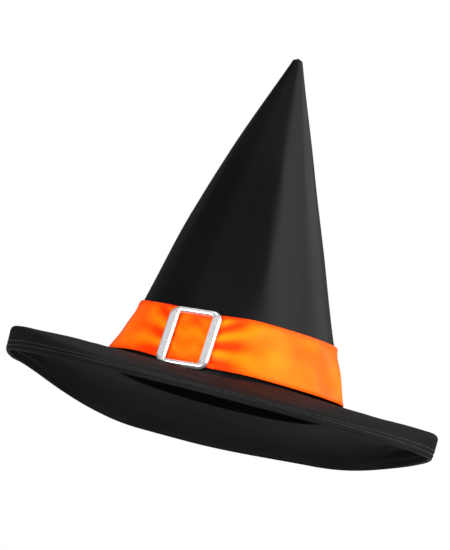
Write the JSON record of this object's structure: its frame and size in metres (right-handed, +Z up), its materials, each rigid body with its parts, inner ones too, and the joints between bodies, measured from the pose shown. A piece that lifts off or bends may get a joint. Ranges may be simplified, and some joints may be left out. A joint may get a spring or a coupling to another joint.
{
  "type": "witch hat",
  "caption": "Pointed conical hat with a wide drooping brim, a satin band around the foot of the cone and a rectangular slider buckle.",
  "frame": {"origin": "centre of the brim's flat hem, on the surface the hat stands on, under the crown's axis", "axes": "+Z up the crown's axis to the point, buckle on the -Y side, crown seam on the +Y side"},
  "size_m": [0.362, 0.362, 0.3225],
  "materials": {
    "black_satin": "black satin with a soft sheen",
    "black_lining": "dull black woven lining",
    "felt_stiffener": "black stiffening felt",
    "spring_wire": "bare sprung steel",
    "black_thread": "black sewing thread",
    "orange_satin": "bright orange satin",
    "orange_thread": "orange sewing thread",
    "plated_buckle": "bright silver plating on moulded plastic"
  },
  "bodies": {
    "hat": {"crown_cover": "black_satin", "crown_stiffener": "felt_stiffener", "crown_lining": "black_lining", "crown_seam_tape": "black_lining", "sweatband": "black_lining", "brim_top_cover": "black_satin", "brim_stiffener": "felt_stiffener", "brim_facing": "black_satin", "brim_edge_wire": "spring_wire", "wire_sleeve": "spring_wire", "brim_stitch_inner": "black_thread", "brim_stitch_outer": "black_thread", "opening_stitch": "black_thread", "hat_band": "orange_satin", "band_lap_end": "orange_satin", "band_tacks": "orange_thread"},
    "buckle": {"buckle_frame": "plated_buckle"}
  },
  "joints": [
    {"name": "buckle_slide", "type": "hinge", "parent": "hat", "child": "buckle", "pos_m": [0, 0, 0.051], "axis": [0, 0, 1], "range_deg": [-10, 10]}
  ]
}
